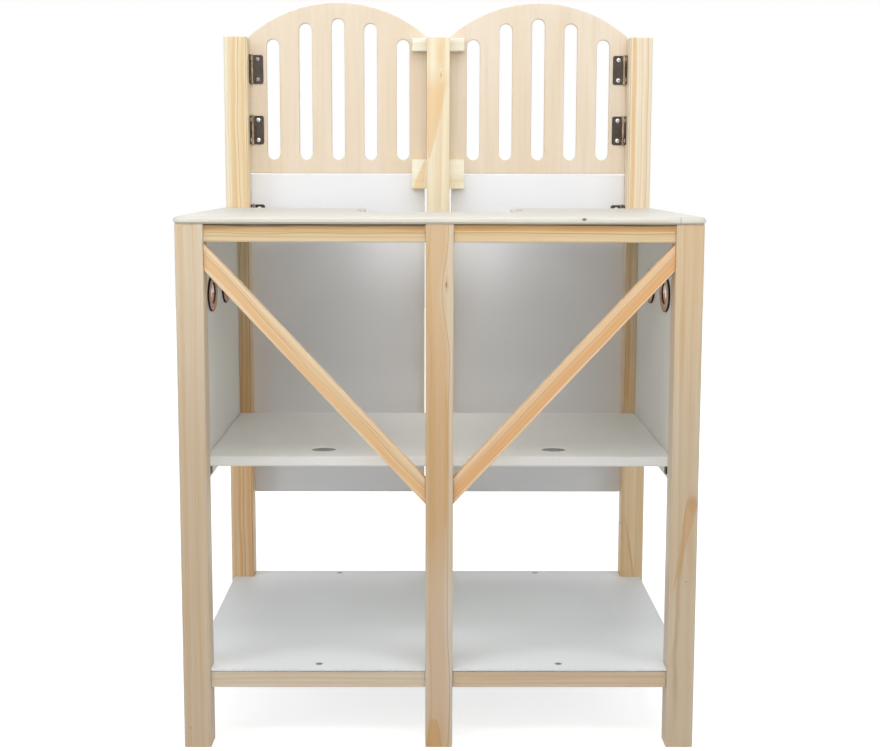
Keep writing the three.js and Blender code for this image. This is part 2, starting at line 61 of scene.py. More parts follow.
# Planes and lines of the frame that the looks refer to
FRONT_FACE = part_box("front_left_post")[0].y
BACK_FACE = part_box("back_left_post")[0].y
TABLE_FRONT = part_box("table_top")[0].y
TABLE_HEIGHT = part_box("table_top")[1].z
HINGE_X, HINGE_Y = middle("upper_door_top_hinge_right_pin").xy
STICK_HOLES = ((-0.1775, -0.1245), (0.1775, -0.1245))
HOLE_RADIUS = 0.0195


# The camera, which stands where the photograph's did
PHOTO_WIDTH = 880
FOCAL_PIXELS = 1538.6
SENSOR_WIDTH = 36.0
CAMERA_PLACE = (-0.0131, -2.4692, 0.8452)
CAMERA_PITCH = math.radians(7.595)
CAMERA_YAW = math.radians(0.363)
CAMERA_ROLL = math.radians(0.124)


def add_camera():
    """The camera looks along +Y and down a little."""
    data = bpy.data.cameras.new("camera")
    data.sensor_width = SENSOR_WIDTH
    data.lens = FOCAL_PIXELS / PHOTO_WIDTH * SENSOR_WIDTH
    camera = bpy.data.objects.new("camera", data)
    turn = (
        Matrix.Rotation(-CAMERA_YAW, 4, "Z")
        @ Matrix.Rotation(math.pi / 2 - CAMERA_PITCH, 4, "X")
        @ Matrix.Rotation(CAMERA_ROLL, 4, "Z")
    )
    camera.matrix_world = Matrix.Translation(CAMERA_PLACE) @ turn
    bpy.context.scene.collection.objects.link(camera)
    bpy.context.scene.camera = camera


# Node helpers
class Shader:
    """A material's node tree, with short calls for the nodes used here."""

    def __init__(self, name):
        self.material = bpy.data.materials.new(name)
        self.material.use_nodes = True
        self.tree = self.material.node_tree
        self.nodes = self.tree.nodes
        self.surface = self.nodes["Principled BSDF"]

    def link(self, value, socket):
        """Feeds a socket from another node's output, or sets it to a plain value."""
        if isinstance(value, bpy.types.NodeSocket):
            self.tree.links.new(value, socket)
        elif isinstance(value, (tuple, list)) and len(value) == 3 and socket.type == "RGBA":
            socket.default_value = (*value, 1.0)
        else:
            socket.default_value = value

    def place(self):
        """The place on the piece in metres, which rides with it."""
        return self.nodes.new("ShaderNodeTexCoord").outputs["Object"]

    def normal(self):
        """The direction that the surface faces, which rides with the piece."""
        return self.nodes.new("ShaderNodeTexCoord").outputs["Normal"]

    def mapped(self, vector, scale=(1, 1, 1), move=(0, 0, 0), turn=(0, 0, 0)):
        node = self.nodes.new("ShaderNodeMapping")
        self.link(vector, node.inputs["Vector"])
        node.inputs["Scale"].default_value = scale
        node.inputs["Location"].default_value = move
        node.inputs["Rotation"].default_value = turn
        return node.outputs["Vector"]

    def noise(self, vector, scale, detail, rough=0.5):
        node = self.nodes.new("ShaderNodeTexNoise")
        self.link(vector, node.inputs["Vector"])
        node.inputs["Scale"].default_value = scale
        node.inputs["Detail"].default_value = detail
        node.inputs["Roughness"].default_value = rough
        return node.outputs["Fac"]

    def math(self, operation, first, second=0.0, third=0.0):
        node = self.nodes.new("ShaderNodeMath")
        node.operation = operation
        self.link(first, node.inputs[0])
        self.link(second, node.inputs[1])
        self.link(third, node.inputs[2])
        return node.outputs[0]

    def vector(self, operation, first, second=(0, 0, 0)):
        node = self.nodes.new("ShaderNodeVectorMath")
        node.operation = operation
        self.link(first, node.inputs[0])
        self.link(second, node.inputs[1])
        return node.outputs["Value" if operation == "LENGTH" else "Vector"]

    def split(self, vector):
        """The x, y and z of a vector."""
        node = self.nodes.new("ShaderNodeSeparateXYZ")
        self.link(vector, node.inputs[0])
        return node.outputs

    def joined(self, x, y, z):
        node = self.nodes.new("ShaderNodeCombineXYZ")
        self.link(x, node.inputs[0])
        self.link(y, node.inputs[1])
        self.link(z, node.inputs[2])
        return node.outputs[0]

    def fade(self, value, low, high, start=0.0, end=1.0):
        """Turns low to high into start to end along a soft curve."""
        node = self.nodes.new("ShaderNodeMapRange")
        node.interpolation_type = "SMOOTHSTEP"
        self.link(value, node.inputs["Value"])
        node.inputs["From Min"].default_value = low
        node.inputs["From Max"].default_value = high
        node.inputs["To Min"].default_value = start
        node.inputs["To Max"].default_value = end
        return node.outputs["Result"]

    def mix(self, share, first, second, blend="MIX"):
        node = self.nodes.new("ShaderNodeMix")
        node.data_type = "RGBA"
        node.blend_type = blend
        self.link(share, node.inputs["Factor"])
        self.link(first, node.inputs["A"])
        self.link(second, node.inputs["B"])
        return node.outputs["Result"]

    def bump(self, height, distance, strength):
        node = self.nodes.new("ShaderNodeBump")
        self.link(height, node.inputs["Height"])
        node.inputs["Distance"].default_value = distance
        node.inputs["Strength"].default_value = strength
        self.link(node.outputs["Normal"], self.surface.inputs["Normal"])

    def finish(self, colour, roughness, specular, metallic=0.0, coat=0.0, coat_roughness=0.2):
        self.link(colour, self.surface.inputs["Base Color"])
        self.link(roughness, self.surface.inputs["Roughness"])
        self.surface.inputs["Metallic"].default_value = metallic
        self.surface.inputs["Specular IOR Level"].default_value = specular
        self.surface.inputs["Coat Weight"].default_value = coat
        self.surface.inputs["Coat Roughness"].default_value = coat_roughness
        return self.material

    def centred(self, value, spread, base=0.0):
        """A value of 0 to 1 made to swing about a base, by half of spread to each side."""
        return self.math("MULTIPLY_ADD", self.math("SUBTRACT", value, 0.5), spread, base)

    def apart(self, value, other):
        """How far one value is from another, whichever is greater."""
        return self.math("ABSOLUTE", self.math("SUBTRACT", value, other))

    def from_upright(self, x, y, at_x, at_y):
        """The distance of (x, y) from an upright line through (at_x, at_y)."""
        off = self.joined(self.math("SUBTRACT", x, at_x), self.math("SUBTRACT", y, at_y), 0.0)
        return self.vector("LENGTH", off)


def linear(red, green, blue):
    """A colour picked in 0 to 255 display values, as the linear values that nodes take."""
    def one(value):
        share = value / 255.0
        return share / 12.92 if share <= 0.04045 else ((share + 0.055) / 1.055) ** 2.4
    return (one(red), one(green), one(blue))


# Wood
GRAIN_TURNS = {
    "x": (0.0, math.radians(90), 0.0),
    "z": (0.0, 0.0, 0.0),
}
PINE_EARLY = linear(241, 225, 195)
PINE_MIDDLE = linear(235, 211, 171)
PINE_LATE = linear(219, 178, 126)
PINE_WARM = linear(229, 182, 122)
PINE_DEEP = linear(198, 146, 94)
KNOT_COLOUR = linear(116, 74, 42)
WORN_COLOUR = linear(238, 224, 200)

# Marks in the wood, as rings of colour: where each starts and ends, its share and its colour
MARKS = {
    "knot": ((0.8, 1.7, 0.35, PINE_DEEP), (0.3, 0.9, 0.6, KNOT_COLOUR)),
    "streak": ((0.55, 1.05, 0.75, PINE_WARM),),
    "brown": ((0.5, 1.1, 0.5, PINE_DEEP),),
    "dot": ((0.4, 1.2, 0.75, KNOT_COLOUR),),
    "pale": ((0.5, 1.2, 0.6, PINE_EARLY),),
    "blond": ((0.5, 1.2, 0.8, linear(240, 228, 208)),),
    "faint": ((0.4, 1.2, 0.35, PINE_WARM),),
    # Painted shade: the shade under a board lying on a rail, and at a rail's ends
    "painted_shade": ((0.5, 1.4, 0.85, linear(66, 40, 24)),),
    # A dark joint, with painted shade under the table's edge
    "joint_shade": ((0.5, 1.4, 0.5, linear(92, 60, 38)),),
}
# How far the year rings swerve round a knot, and how many times its size that reaches
KNOT_SWELL = 0.011
KNOT_REACH = 3.2
# Heights between which a piece's lower tint gives way to its upper one: a painted gradient of shade below and
# light above
SHADING_FROM, SHADING_TO = 0.42, 0.74


def near_arris(s, local, half_size):
    """The distance in metres from a box's nearest edge, below 0 inside. local is measured from its middle."""
    x, y, z = s.split(s.vector("SUBTRACT", s.vector("ABSOLUTE", local), half_size))
    return s.math("MAXIMUM", s.math("MINIMUM", x, y), s.math("MINIMUM", s.math("MAXIMUM", x, y), z))


def year_rings(s, along, far, swells, pith, ring, seed):
    """How dark the year rings are: each darkens slowly and ends sharply, and some are fainter."""
    # The trunk bends slowly, so the rings wander along the piece
    slow = s.noise(s.mapped(far, scale=(5, 5, 1.1)), 1.0, 2.0)
    slower = s.noise(s.mapped(far, scale=(2, 2, 0.6), move=(7.1, 3.3, 1.9)), 1.0, 1.0)
    x, y, _ = s.split(along)
    radius = s.from_upright(x, y, s.centred(slow, 0.034, pith[0] * MM), s.centred(slower, 0.03, pith[1] * MM))
    for swell in swells:
        radius = s.math("ADD", radius, swell)
    rings = s.math("DIVIDE", radius, ring * MM)
    phase = s.math("FRACT", rings)
    late = s.math("MULTIPLY", s.fade(phase, 0.15, 0.86), s.fade(phase, 0.88, 1.0, 1.0, 0.0))
    ring_tone = s.noise(s.joined(s.math("FLOOR", rings), seed, 0.0), 0.73, 0.0)
    return s.math("MULTIPLY", late, s.fade(ring_tone, 0.3, 0.7, 0.3, 1.0))


def grown_colour(s, far, late, fibre, warmth):
    """Bare pine: pale early wood, warmer late wood, deep streaks and fine fibre."""
    streak = s.noise(s.mapped(far, scale=(34, 34, 1.3), move=(2.7, 8.4, 4.2)), 1.0, 2.0)
    base = s.mix(s.fade(streak, 0.34, 0.7), PINE_EARLY, PINE_MIDDLE)
    base = s.mix(s.math("MULTIPLY", late, 0.25 + 0.5 * warmth), base, PINE_LATE)
    deep = s.math("MULTIPLY", s.fade(streak, 0.58, 0.82), s.math("MULTIPLY", late, 0.7 * warmth))
    base = s.mix(deep, base, PINE_DEEP)
    return s.mix(s.fade(fibre, 0.35, 0.72, 0.0, 0.2), base, PINE_LATE)


def mark_on(s, base, place, wobble, spot, size, kind):
    """Paints one of MARKS with a ragged edge."""
    off = s.vector("DIVIDE", s.vector("SUBTRACT", place, spot), size)
    near = s.centred(wobble, 0.9, s.vector("LENGTH", off))
    for inner, outer, share, colour in MARKS[kind]:
        base = s.mix(s.fade(near, inner, outer, share, 0.0), base, colour)
    return base


def band_on(s, base, x, wander, wobble, swerve, here, across, width, share, colour, wave):
    """Paints a wavy stripe of colour along the grain."""
    middle_line = s.math("ADD", s.centred(wander, 2 * wave, across), swerve)
    off = s.centred(wobble, 0.3, s.math("DIVIDE", s.apart(x, middle_line), width))
    return s.mix(s.math("MULTIPLY", s.fade(off, 0.55, 1.1, share, 0.0), here), base, colour)


def tongue_on(s, base, place, wobble, tip, end, width, power, fill, rim):
    """Paints a long pointed flame, such as the year rings draw where the saw leaves them."""
    x, _, z = s.split(place)
    run = 1.0 / (end[1] - tip[1])
    along = s.math("MULTIPLY_ADD", z, run, -tip[1] * run)
    middle_x = s.math("MULTIPLY_ADD", along, end[0] - tip[0], tip[0])
    wide = s.math("MULTIPLY", s.math("POWER", s.math("MAXIMUM", along, 0.001), power), width)
    off = s.centred(wobble, 0.5, s.math("DIVIDE", s.apart(x, middle_x), wide))
    here = s.math("MULTIPLY", s.fade(along, -0.02, 0.05), s.fade(along, 0.85, 1.25, 1.0, 0.0))
    base = s.mix(s.math("MULTIPLY", s.fade(off, 0.75, 1.0, fill, 0.0), here), base, PINE_WARM)
    return s.mix(s.math("MULTIPLY", s.fade(s.apart(off, 0.93), 0.0, 0.2, rim, 0.0), here), base, PINE_DEEP)


def pine(name, centre, half_size, pith, ring, warmth, seed, grain="z", turn=None, tone=(1, 1, 1),
         shade_tone_below=None, marks=(), tongues=(), bands=(), bands_from=None, bow=None):
    """Planed pine, cut from a log whose pith lies off the piece: year rings, fibre, warm streaks and knots.

    centre and half_size are the piece's middle and half size in metres, pith the log's middle from there and
    ring the year rings' step in millimetres. grain names the axis that the log lies along, or turn gives its
    angles. tone and shade_tone_below tint the piece above and below the middle of the bay, a painted gradient
    of light and shade down the piece that is mostly darker below.
    marks are (place, size, kind) in metres, where kind names an entry of MARKS.
    tongues are (tip, end, width, power, fill, rim), tip and end as (x, z): a flame that widens from its tip.
    bands are (across, half width, share, colour, wave): a wavy stripe of colour along the grain.
    bands_from is (low, high), the heights between which the bands fade in.
    bow is (height, reach, sideways): where the bands all swerve round a knot.
    """
    s = Shader(name)
    place = s.place()
    height = s.split(place)[2]
    local = s.vector("SUBTRACT", place, tuple(centre))
    along = s.mapped(local, turn=turn or GRAIN_TURNS[grain])
    far = s.mapped(along, move=(seed * 1.7, seed * 0.9, seed * 2.3))
    swells = []
    for spot, size, kind in marks:
        if kind == "knot":
            off = s.vector("DIVIDE", s.vector("SUBTRACT", place, spot), size)
            swells.append(s.fade(s.vector("LENGTH", off), 0.0, KNOT_REACH, KNOT_SWELL, 0.0))
    late = year_rings(s, along, far, swells, pith, ring, seed)
    fibre = s.noise(s.mapped(far, scale=(420, 420, 9)), 1.0, 3.0, 0.6)
    wobble = s.noise(s.mapped(far, scale=(90, 90, 12)), 1.0, 2.0)
    base = grown_colour(s, far, late, fibre, warmth)
    for mark_values in marks:
        base = mark_on(s, base, place, wobble, *mark_values)
    wander = s.noise(s.mapped(far, scale=(3, 3, 6.5), move=(4.4, 1.2, 7.7)), 1.0, 1.0)
    swerve = s.fade(s.apart(height, bow[0]), 0.0, bow[1], bow[2], 0.0) if bow else 0.0
    here = s.fade(height, *bands_from) if bands_from else 1.0
    for band in bands:
        base = band_on(s, base, s.split(along)[0], wander, wobble, swerve, here, *band)
    for tongue in tongues:
        base = tongue_on(s, base, place, wobble, *tongue)
    wear = s.centred(wobble, 0.004, near_arris(s, along if turn else local, half_size))
    base = s.mix(s.fade(wear, -0.0022, -0.0002, 0.0, 0.45), base, WORN_COLOUR)
    # Painted light and shade: the tint changes with height, mostly darker towards the bottom
    if shade_tone_below:
        tone = s.mix(s.fade(height, SHADING_FROM, SHADING_TO), shade_tone_below, tone)
    base = s.mix(1.0, base, tone, "MULTIPLY")
    s.bump(s.math("MULTIPLY_ADD", late, 0.6, s.math("MULTIPLY", fibre, 0.5)), 0.00012, 0.5)
    return s.finish(base, s.fade(fibre, 0.2, 0.8, 0.42, 0.56), specular=0.35, coat=0.08, coat_roughness=0.35)


PLY_LAYER = 1.35 * MM


def birch_ply(name, seed):
    """Sanded birch plywood: quiet upright figure on the faces and thin layers on the edges."""
    s = Shader(name)
    place = s.place()
    far = s.mapped(place, move=(seed, seed * 0.7, seed * 1.3))
    cloud = s.noise(s.mapped(far, scale=(9, 1, 2.2)), 1.0, 2.0)
    figure = s.noise(s.mapped(far, scale=(110, 1, 5)), 1.0, 3.0, 0.55)
    pores = s.noise(s.mapped(far, scale=(900, 60, 34)), 1.0, 2.0)
    face = s.mix(s.fade(cloud, 0.3, 0.7), linear(239, 225, 206), linear(234, 217, 192))
    face = s.mix(s.fade(figure, 0.42, 0.72, 0.0, 0.3), face, linear(222, 202, 172))
    face = s.mix(s.fade(pores, 0.62, 0.75, 0.0, 0.2), face, linear(204, 176, 140))
    layers = s.math("FRACT", s.math("DIVIDE", s.split(place)[1], PLY_LAYER))
    layer = s.mix(s.fade(layers, 0.42, 0.58), linear(236, 210, 170), linear(205, 164, 114))
    glue = s.fade(s.apart(layers, 0.5), 0.03, 0.09, 0.5, 0.0)
    layer = s.mix(glue, layer, linear(150, 104, 66))
    facing = s.math("ABSOLUTE", s.split(s.normal())[1])
    colour = s.mix(s.fade(facing, 0.25, 0.6), layer, face)
    s.bump(s.math("ADD", figure, s.math("MULTIPLY", pores, -0.4)), 0.0001, 0.35)
    roughness = s.fade(figure, 0.2, 0.8, 0.46, 0.58)
    return s.finish(colour, roughness, specular=0.35, coat=0.08, coat_roughness=0.35)


# The table: its staves' width, the height of their logs' middle, and the step of their year rings
STAVE_WIDTH = 89.3 * MM
STAVE_PITH_HEIGHT = 0.8
STAVE_RING = 6.5 * MM
# Dark spots on the table: place, size, share and colour. The two on the top beside the notch are painted shade
# along its side walls; the two on the front edge are dark marks
TABLE_MARKS = (
    ((0.2039, TABLE_FRONT, 0.7768), (0.0036, 0.02, 0.0024), 0.9, linear(70, 54, 42)),
    ((-0.131, 0.075, TABLE_HEIGHT), (0.005, 0.04, 0.002), 0.75, linear(160, 151, 134)),
    ((0.1335, 0.085, TABLE_HEIGHT), (0.0065, 0.045, 0.002), 0.75, linear(156, 145, 128)),
    ((0.3405, TABLE_FRONT, 0.776), (0.0012, 0.012, 0.006), 0.5, linear(150, 142, 126)),
)


def washed_pine():
    """The table's boards: white-washed pine along X under a silky lacquer, with seams between the staves."""
    s = Shader("washed_pine")
    place = s.place()
    x, y, z = s.split(place)
    stave_step = s.math("DIVIDE", s.math("SUBTRACT", y, FRONT_FACE), STAVE_WIDTH)
    stave = s.math("FLOOR", stave_step)
    odd = s.noise(s.joined(stave, 0.37, 0.0), 3.1, 0.0)
    far = s.joined(s.math("MULTIPLY_ADD", stave, 0.61, x), s.math("MULTIPLY_ADD", stave, 0.083, y), z)
    bend = s.noise(s.mapped(far, scale=(3.2, 9, 4)), 1.0, 2.0)
    depth = s.centred(bend, 0.05, s.split(far)[1])
    radius = s.vector("LENGTH", s.joined(depth, s.math("SUBTRACT", z, STAVE_PITH_HEIGHT), 0.0))
    phase = s.math("FRACT", s.math("DIVIDE", radius, STAVE_RING))
    late = s.math("MULTIPLY", s.fade(phase, 0.3, 0.85), s.fade(phase, 0.88, 1.0, 1.0, 0.0))
    fibre = s.noise(s.mapped(far, scale=(12, 380, 380)), 1.0, 3.0, 0.6)
    # Painted light and shade: the edges take a lighter colour and the top a darker one
    facing = s.fade(s.math("ABSOLUTE", s.split(s.normal())[2]), 0.5, 0.95)
    colour = s.mix(s.fade(odd, 0.3, 0.7), linear(209, 208, 203), linear(205, 203, 196))
    colour = s.mix(s.math("MULTIPLY", late, 0.22), colour, linear(200, 190, 168))
    colour = s.mix(s.fade(fibre, 0.45, 0.75, 0.0, 0.2), colour, linear(204, 197, 180))
    edge = s.mix(s.fade(fibre, 0.3, 0.7), linear(234, 229, 218), linear(225, 219, 205))
    colour = s.mix(facing, edge, colour)
    near_seam = s.fade(s.apart(s.math("FRACT", stave_step), 0.5), 0.491, 0.4985)
    colour = s.mix(s.math("MULTIPLY", near_seam, 0.3), colour, linear(170, 160, 140))
    for mark_place, mark_size, share, tint in TABLE_MARKS:
        off = s.vector("DIVIDE", s.vector("SUBTRACT", place, mark_place), mark_size)
        colour = s.mix(s.fade(s.vector("LENGTH", off), 0.4, 1.25, share, 0.0), colour, tint)
    relief = s.math("MULTIPLY_ADD", near_seam, -1.2, fibre)
    s.bump(s.math("MULTIPLY_ADD", late, 0.5, relief), 0.00015, 0.3)
    return s.finish(colour, s.fade(fibre, 0.2, 0.8, 0.38, 0.5), specular=0.3, coat=0.1, coat_roughness=0.3)


# Lacquer: a dark ring round a screw's countersink, painted shade in its dip and its rough burr, fades between
# two distances from its middle
SINK_SHADE_FROM, SINK_SHADE_TO = 4.7 * MM, 6.2 * MM


def white_board(name, tint, roughness, seed, centre, half_size, holes=(), screws=()):
    """White lacquer sprayed on board: a faint orange peel, specks of dust, and edges worn a little grey.

    holes are the (x, y) of bored holes, whose walls are painted grey, and screws those of countersinks that
    get
    a dark ring round their rims: painted shade in the countersink's dip, and its rough burr.
    """
    s = Shader(name)
    place = s.place()
    x, y, _ = s.split(place)
    far = s.mapped(place, move=(seed, seed, seed))
    cloud = s.noise(far, 3.0, 2.0)
    peel = s.noise(far, 520.0, 2.0, 0.4)
    dust = s.noise(far, 2100.0, 1.0)
    wobble = s.noise(far, 140.0, 2.0)
    colour = s.mix(s.fade(cloud, 0.3, 0.7), tint, tuple(part * 0.965 for part in tint))
    colour = s.mix(s.fade(dust, 0.7, 0.8, 0.0, 0.2), colour, tuple(part * 0.8 for part in tint))
    worn = s.centred(wobble, 0.003, near_arris(s, s.vector("SUBTRACT", place, tuple(centre)), half_size))
    colour = s.mix(s.fade(worn, -0.0014, 0.0, 0.0, 0.35), colour, linear(206, 202, 190))
    upright = s.fade(s.math("ABSOLUTE", s.split(s.normal())[2]), 0.3, 0.6, 1.0, 0.0)
    for hole in holes:
        out = s.from_upright(x, y, *hole)
        wall = s.math("MULTIPLY", s.fade(out, HOLE_RADIUS, HOLE_RADIUS + 2 * MM, 1.0, 0.0), upright)
        # The hole's wall is painted grey
        hole_grey = s.mix(s.fade(peel, 0.3, 0.7), linear(168, 167, 162), linear(146, 144, 138))
        colour = s.mix(wall, colour, hole_grey)
    # Painted shade and burr: a dark ring round each screw's countersink
    for screw in screws:
        out = s.centred(wobble, 0.001, s.from_upright(x, y, *screw))
        colour = s.mix(s.fade(out, SINK_SHADE_FROM, SINK_SHADE_TO, 0.8, 0.0), colour, linear(112, 112, 108))
    s.bump(peel, 0.00006, 0.4)
    return s.finish(colour, s.fade(cloud, 0.25, 0.75, roughness, roughness + 0.08), specular=0.2)


# Metal: the painted highlight of pale brass on a hinge's barrel ends between two distances from its axis
HIGHLIGHT_FROM, HIGHLIGHT_TO = 2.9 * MM, 3.4 * MM


def bronze(name, seed):
    """Dark bronze plating: nearly black in the flats, browner where rubbed, a painted highlight on the
    barrels.
    """
    s = Shader(name)
    place = s.place()
    far = s.mapped(place, move=(seed, seed, seed))
    cloud = s.noise(far, 60.0, 2.0)
    grain = s.noise(s.mapped(far, scale=(1, 1, 0.12)), 1600.0, 2.0)
    colour = s.mix(s.fade(cloud, 0.3, 0.75), linear(64, 57, 52), linear(84, 75, 68))
    colour = s.mix(s.fade(grain, 0.55, 0.8, 0.0, 0.35), colour, linear(136, 122, 108))
    x, y, _ = s.split(place)
    # Painted highlight: the barrel is painted pale brass round its axis
    off_axis = s.from_upright(s.math("ABSOLUTE", x), y, HINGE_X, HINGE_Y)
    barrel_highlight = s.fade(off_axis, HIGHLIGHT_FROM, HIGHLIGHT_TO, 0.75, 0.0)
    highlight_colour = s.mix(s.fade(cloud, 0.3, 0.7), linear(196, 176, 146), linear(150, 132, 108))
    colour = s.mix(barrel_highlight, colour, highlight_colour)
    s.bump(grain, 0.00003, 0.4)
    return s.finish(colour, s.fade(cloud, 0.2, 0.8, 0.36, 0.48), metallic=0.85, specular=0.4)


def screw_metal(name, bright, dull):
    """Plated screws: a little cloudy and finely scratched. "cap" says where on a head its dark cross lies."""
    s = Shader(name)
    cloud = s.noise(s.place(), 700.0, 3.0)
    scratch = s.noise(s.mapped(s.place(), scale=(1, 6, 1)), 2600.0, 2.0)
    attribute = s.nodes.new("ShaderNodeAttribute")
    attribute.attribute_name = "cap"
    u, v, on_head = s.split(s.vector("ABSOLUTE", attribute.outputs["Vector"]))
    bar = s.math("MULTIPLY", s.fade(u, 0.1, 0.17, 1.0, 0.0), s.fade(v, 0.5, 0.6, 1.0, 0.0))
    across = s.math("MULTIPLY", s.fade(v, 0.1, 0.17, 1.0, 0.0), s.fade(u, 0.5, 0.6, 1.0, 0.0))
    cross_shade = s.math("MULTIPLY", s.math("MAXIMUM", bar, across), on_head)
    colour = s.mix(s.fade(cloud, 0.3, 0.7), bright, dull)
    # Painted shade: the cross is darkened where its recess would lie in shade
    colour = s.mix(cross_shade, colour, linear(104, 104, 102))
    s.bump(s.math("MULTIPLY_ADD", cross_shade, -12.0, scratch), 0.00005, 0.5)
    return s.finish(colour, s.fade(scratch, 0.3, 0.7, 0.28, 0.44), metallic=0.9, specular=0.5)


def scorched_ply(name, seed):
    """Laser-cut plywood: a pinkish tan face, nearly black on its cuts, white where "burn" is below 0."""
    s = Shader(name)
    attribute = s.nodes.new("ShaderNodeAttribute")
    attribute.attribute_name = "burn"
    burn = attribute.outputs["Fac"]
    far = s.mapped(s.place(), move=(seed, seed, seed))
    figure = s.noise(s.mapped(far, scale=(1, 24, 260)), 1.0, 3.0)
    smoke = s.noise(far, 160.0, 2.0)
    face = s.mix(s.fade(figure, 0.35, 0.7), linear(226, 186, 162), linear(202, 158, 132))
    edge = s.centred(smoke, 0.3, burn)
    face = s.mix(s.fade(edge, 0.15, 0.7, 0.0, 0.8), face, linear(120, 76, 50))
    face = s.mix(s.fade(edge, 0.7, 0.95), face, linear(50, 31, 20))
    # Painted light: white where burn is below 0
    face = s.mix(s.fade(burn, -0.6, -0.3, 1.0, 0.0), face, linear(236, 234, 228))
    s.bump(figure, 0.0001, 0.4)
    return s.finish(face, s.fade(edge, 0.0, 1.0, 0.5, 0.7), specular=0.25)


# Mesh helpers
def new_piece(name, build, material, body, replaced=()):
    """A mesh piece from a bmesh that build fills, riding on a body."""
    mesh = bpy.data.meshes.new(name)
    shape = bmesh.new()
    build(shape)
    bmesh.ops.recalc_face_normals(shape, faces=shape.faces)
    shape.to_mesh(mesh)
    shape.free()
    piece = bpy.data.objects.new(name, mesh)
    bpy.context.scene.collection.objects.link(piece)
    mesh.materials.append(material)
    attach(piece, body)
    if replaced:
        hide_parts(*replaced)
    return piece


def smooth_faces(piece, angle):
    """Shades the piece smoothly, but for edges sharper than an angle in degrees."""
    for face in piece.data.polygons:
        face.use_smooth = True
    piece.data.set_sharp_from_angle(angle=math.radians(angle))


def dress(node, material):
    """Gives a CAD node its material."""
    piece = NODES[node]
    piece.data.materials.clear()
    piece.data.materials.append(material)
    for face in piece.data.polygons:
        face.material_index = 0


def revolved(shape, profile, sides, matrix, cap_radius=0.0):
    """A solid of revolution about local Z from (radius, height) points, closed at both ends.

    Where cap_radius is given, "cap" tells the shader where on the head each point is.
    """
    layer = shape.verts.layers.float_vector.get("cap") or shape.verts.layers.float_vector.new("cap")
    rings = []
    for radius, height in profile:
        ring = []
        for step in range(sides):
            angle = 2 * math.pi * step / sides
            x, y = radius * math.cos(angle), radius * math.sin(angle)
            vertex = shape.verts.new(matrix @ Vector((x, y, height)))
            if cap_radius:
                vertex[layer] = (x / cap_radius, y / cap_radius, 1.0)
            ring.append(vertex)
        rings.append(ring)
    for low, high in zip(rings, rings[1:]):
        for step in range(sides):
            after = (step + 1) % sides
            shape.faces.new((low[step], low[after], high[after], high[step]))
    shape.faces.new(list(reversed(rings[0])))
    shape.faces.new(rings[-1])


def slab_of(shape, outline, depth, chamfer, matrix):
    """A flat plate from a local XZ outline, from local y 0 to depth, with its edges eased."""
    left, right = min(x for x, z in outline), max(x for x, z in outline)
    low, high = min(z for x, z in outline), max(z for x, z in outline)
    mid_x, mid_z = (left + right) / 2, (low + high) / 2
    shrink_x, shrink_z = 1 - 2 * chamfer / (right - left), 1 - 2 * chamfer / (high - low)
    small = [(mid_x + (x - mid_x) * shrink_x, mid_z + (z - mid_z) * shrink_z) for x, z in outline]
    levels = ((small, 0.0), (outline, chamfer), (outline, depth - chamfer), (small, depth))
    loops = [[shape.verts.new(matrix @ Vector((x, y, z))) for x, z in points] for points, y in levels]
    count = len(outline)
    for first, second in zip(loops, loops[1:]):
        for step in range(count):
            after = (step + 1) % count
            shape.faces.new((first[after], first[step], second[step], second[after]))
    shape.faces.new(loops[0])
    shape.faces.new(list(reversed(loops[-1])))


# A screw's or barrel's sides, a head's depth below its rim, its cross's turn in radians per metre of radius
ROUND_SIDES = 20
HEAD_DEPTH = 0.3 * MM
CROSS_TURN = 900.0


def screw_head(shape, place, facing, radius, height):
    """A countersunk screw's head, slightly domed, that faces along a direction."""
    turn = Vector(facing).to_track_quat("Z", "Y").to_matrix().to_4x4()
    matrix = Matrix.Translation(place) @ turn @ Matrix.Rotation(radius * CROSS_TURN, 4, "Z")
    profile = (
        (radius * 0.94, -HEAD_DEPTH),
        (radius, 0.0),
        (radius * 0.97, height * 0.35),
        (radius * 0.8, height * 0.8),
        (radius * 0.4, height),
        (radius * 0.02, height),
    )
    revolved(shape, profile, ROUND_SIDES, matrix, radius)


# Hinges: a leaf lies along its own x from the pin, and its plate's open face looks along its own y
LEAF_REACH = 20 * MM
LEAF_HALF_HEIGHT = 25 * MM
LEAF_CORNER = 4 * MM
CORNER_STEPS = 14
LEAF_FACE = -1.5 * MM
LEAF_BACK = -3 * MM
LEAF_EASE = 0.2 * MM
BARREL_RADIUS = 2.75 * MM
KNUCKLES = 5
KNUCKLE_PITCH = 2 * LEAF_HALF_HEIGHT / KNUCKLES
KNUCKLE_GAP = 0.3 * MM
KNUCKLE_EASE = 0.25 * MM
KNUCKLE_ROOT = 0.55 * BARREL_RADIUS
SCREW_REACH = 10 * MM
SCREW_SPREAD = 17.5 * MM
LEAF_SCREW_RADIUS = 3.7 * MM
LEAF_SCREW_HEIGHT = 0.8 * MM
# The one hinge whose screws look grey in the photo
GREY_SCREWED = "upper_door_top_hinge_left"


